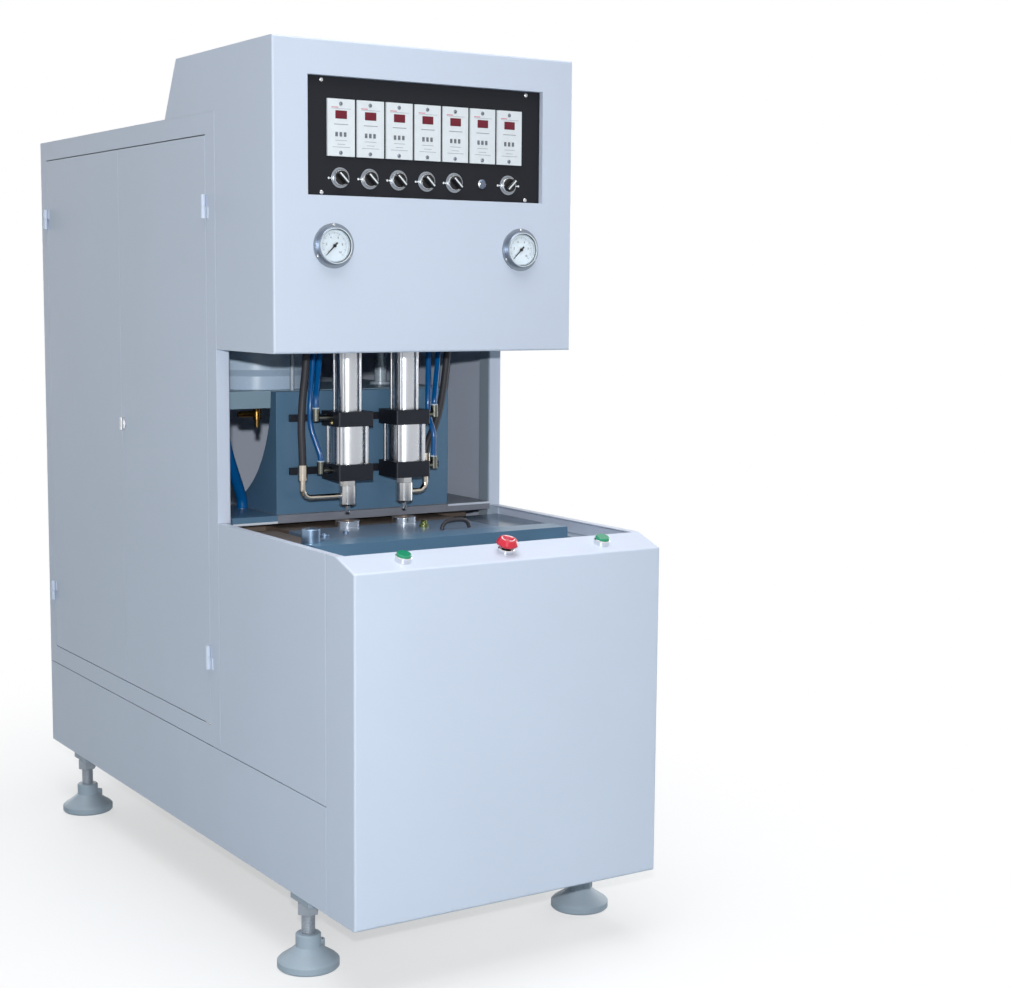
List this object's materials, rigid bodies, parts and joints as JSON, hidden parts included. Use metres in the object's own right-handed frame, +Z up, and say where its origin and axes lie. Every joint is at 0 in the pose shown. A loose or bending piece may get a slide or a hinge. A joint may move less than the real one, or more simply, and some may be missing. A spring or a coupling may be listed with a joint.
{
  "type": "blow moulding machine",
  "caption": "semi-automatic stretch blow moulding machine: opening mould clamp, stretch and blow stations over the bottle cavities, control head, door cabinet and levelling feet",
  "frame": {"origin": "middle of the footprint, on the floor under the levelling feet", "axes": "+Z up, +X to the operator's right, -Y towards the operator; the control panel faces -Y"},
  "size_m": [0.725, 1.565, 1.685],
  "materials": {
    "powder_coat": "light blue-grey satin powder coat",
    "machine_blue": "dark blue enamel",
    "grey_paint": "light grey paint",
    "raw_steel": "plain steel plate with a light brown tone",
    "bright_steel": "hard chrome",
    "machined_steel": "machined and oiled",
    "aluminium": "bright drawn tube",
    "mould_metal": "ground blue-grey blocks",
    "black_anodised": "black anodised",
    "cast_feet": "grey-green paint on cast iron",
    "panel_black": "matt black",
    "timer_white": "white",
    "knob_black": "black",
    "button_green": "green",
    "button_red": "red",
    "needle_black": "black",
    "clear": "clear window",
    "brass": "plain brass",
    "rubber": "black hose rubber",
    "tube_blue": "blue tube",
    "bright_fittings": "bright plated"
  },
  "bodies": {
    "root": {"air_fittings": "bright_fittings", "air_manifold": "black_anodised", "air_tank": "grey_paint", "air_tubes": "tube_blue", "base_frame": "grey_paint", "base_sides": "powder_coat", "bed_covers": "raw_steel", "cabinet_side_left": "powder_coat", "cabinet_side_right": "powder_coat", "cabinet_top": "powder_coat", "clamp_cylinder": "machined_steel", "control_bezels": "bright_fittings", "control_plate": "panel_black", "cylinder_barrels": "aluminium", "cylinder_bracket": "machine_blue", "cylinder_caps": "black_anodised", "cylinder_tie_rods": "machined_steel", "foot_pads": "cast_feet", "foot_screws": "machined_steel", "front_cover": "powder_coat", "gauge_cases": "bright_fittings", "gauge_lenses": "clear", "head_cover": "powder_coat", "mould_rear": "mould_metal", "mounting_bars": "black_anodised", "rear_cover": "powder_coat", "rear_platen": "raw_steel", "skirts": "powder_coat", "tank_fittings": "brass", "tank_shelf": "grey_paint", "timers": "timer_white"},
    "clamp": {"front_platen": "machine_blue", "mould_front": "mould_metal", "tie_bars": "bright_steel", "crosshead": "machined_steel", "clamp_rod": "bright_steel"},
    "nozzle_left": {"nozzle_left": "bright_fittings", "blow_hose_left": "rubber"},
    "stretch_rod_left": {"stretch_rod_left": "bright_steel"},
    "door_front_left": {"door_front_left": "powder_coat"},
    "door_rear_left": {"door_rear_left": "powder_coat"},
    "door_lock_left": {"door_lock_left": "bright_fittings"},
    "start_button_left": {"start_button_left": "button_green"},
    "gauge_needle_left": {"gauge_needle_left": "needle_black"},
    "nozzle_right": {"nozzle_right": "bright_fittings", "blow_hose_right": "rubber"},
    "stretch_rod_right": {"stretch_rod_right": "bright_steel"},
    "door_front_right": {"door_front_right": "powder_coat"},
    "door_rear_right": {"door_rear_right": "powder_coat"},
    "door_lock_right": {"door_lock_right": "bright_fittings"},
    "start_button_right": {"start_button_right": "button_green"},
    "gauge_needle_right": {"gauge_needle_right": "needle_black"},
    "stop_plunger": {"stop_plunger": "knob_black"},
    "stop_button": {"stop_button": "button_red"},
    "selector_1": {"selector_1": "knob_black"},
    "selector_2": {"selector_2": "knob_black"},
    "selector_3": {"selector_3": "knob_black"},
    "selector_4": {"selector_4": "knob_black"},
    "selector_5": {"selector_5": "knob_black"},
    "selector_6": {"selector_6": "knob_black"}
  },
  "joints": [
    {"name": "clamp_slide", "type": "slide", "parent": "root", "child": "clamp", "axis": [0, -1, 0], "range_m": [0, 0.14]},
    {"name": "nozzle_slide_left", "type": "slide", "parent": "root", "child": "nozzle_left", "axis": [0, 0, -1], "range_m": [0, 0.0297], "deforming": ["blow_hose_left"]},
    {"name": "stretch_slide_left", "type": "slide", "parent": "root", "child": "stretch_rod_left", "axis": [0, 0, -1], "range_m": [0, 0.26]},
    {"name": "nozzle_slide_right", "type": "slide", "parent": "root", "child": "nozzle_right", "axis": [0, 0, -1], "range_m": [0, 0.0297], "deforming": ["blow_hose_right"]},
    {"name": "stretch_slide_right", "type": "slide", "parent": "root", "child": "stretch_rod_right", "axis": [0, 0, -1], "range_m": [0, 0.26]},
    {"name": "door_front_hinge_left", "type": "hinge", "parent": "root", "child": "door_front_left", "pos_m": [-0.33, -0.1785, 0.9515], "axis": [0, 0, 1], "range_deg": [0, 110]},
    {"name": "door_rear_hinge_left", "type": "hinge", "parent": "root", "child": "door_rear_left", "pos_m": [-0.33, 0.7435, 0.9515], "axis": [0, 0, -1], "range_deg": [0, 110]},
    {"name": "door_lock_turn_left", "type": "hinge", "parent": "door_front_left", "child": "door_lock_left", "pos_m": [-0.325, 0.2675, 0.944], "axis": [1, 0, 0], "range_deg": [0, 90]},
    {"name": "door_front_hinge_right", "type": "hinge", "parent": "root", "child": "door_front_right", "pos_m": [0.33, -0.1785, 0.9515], "axis": [0, 0, -1], "range_deg": [0, 110]},
    {"name": "door_rear_hinge_right", "type": "hinge", "parent": "root", "child": "door_rear_right", "pos_m": [0.33, 0.7435, 0.9515], "axis": [0, 0, 1], "range_deg": [0, 110]},
    {"name": "door_lock_turn_right", "type": "hinge", "parent": "door_front_right", "child": "door_lock_right", "pos_m": [0.325, 0.2675, 0.944], "axis": [1, 0, 0], "range_deg": [0, 90]},
    {"name": "start_press_left", "type": "slide", "parent": "root", "child": "start_button_left", "axis": [0, 0.3162, -0.9487], "range_m": [0, 0.0035], "stiffness_N_per_m": 800, "springref_m": -0.003},
    {"name": "start_press_right", "type": "slide", "parent": "root", "child": "start_button_right", "axis": [0, 0.3162, -0.9487], "range_m": [0, 0.0035], "stiffness_N_per_m": 800, "springref_m": -0.003},
    {"name": "stop_press", "type": "slide", "parent": "root", "child": "stop_plunger", "axis": [0, 0.3162, -0.9487], "range_m": [0, 0.005], "stiffness_N_per_m": 1200, "springref_m": -0.004},
    {"name": "stop_twist", "type": "hinge", "parent": "stop_plunger", "child": "stop_button", "pos_m": [0, -0.7495, 0.771], "axis": [0, -0.3162, 0.9487], "range_deg": [0, 45], "stiffness_Nm_per_rad": 0.02},
    {"name": "selector_turn_1", "type": "hinge", "parent": "root", "child": "selector_1", "pos_m": [-0.183, -0.4655, 1.44], "axis": [0, 1, 0], "range_deg": [0, 90]},
    {"name": "selector_turn_2", "type": "hinge", "parent": "root", "child": "selector_2", "pos_m": [-0.122, -0.4655, 1.44], "axis": [0, 1, 0], "range_deg": [0, 90]},
    {"name": "selector_turn_3", "type": "hinge", "parent": "root", "child": "selector_3", "pos_m": [-0.061, -0.4655, 1.44], "axis": [0, 1, 0], "range_deg": [0, 90]},
    {"name": "selector_turn_4", "type": "hinge", "parent": "root", "child": "selector_4", "pos_m": [0, -0.4655, 1.44], "axis": [0, 1, 0], "range_deg": [0, 90]},
    {"name": "selector_turn_5", "type": "hinge", "parent": "root", "child": "selector_5", "pos_m": [0.061, -0.4655, 1.44], "axis": [0, 1, 0], "range_deg": [0, 90]},
    {"name": "selector_turn_6", "type": "hinge", "parent": "root", "child": "selector_6", "pos_m": [0.183, -0.4655, 1.44], "axis": [0, -1, 0], "range_deg": [0, 90]},
    {"name": "gauge_needle_turn_left", "type": "hinge", "parent": "root", "child": "gauge_needle_left", "pos_m": [-0.204, -0.4775, 1.316], "axis": [0, 1, 0], "range_deg": [0, 270], "stiffness_Nm_per_rad": 0.0005},
    {"name": "gauge_needle_turn_right", "type": "hinge", "parent": "root", "child": "gauge_needle_right", "pos_m": [0.204, -0.4775, 1.316], "axis": [0, 1, 0], "range_deg": [0, 270], "stiffness_Nm_per_rad": 0.0005}
  ]
}
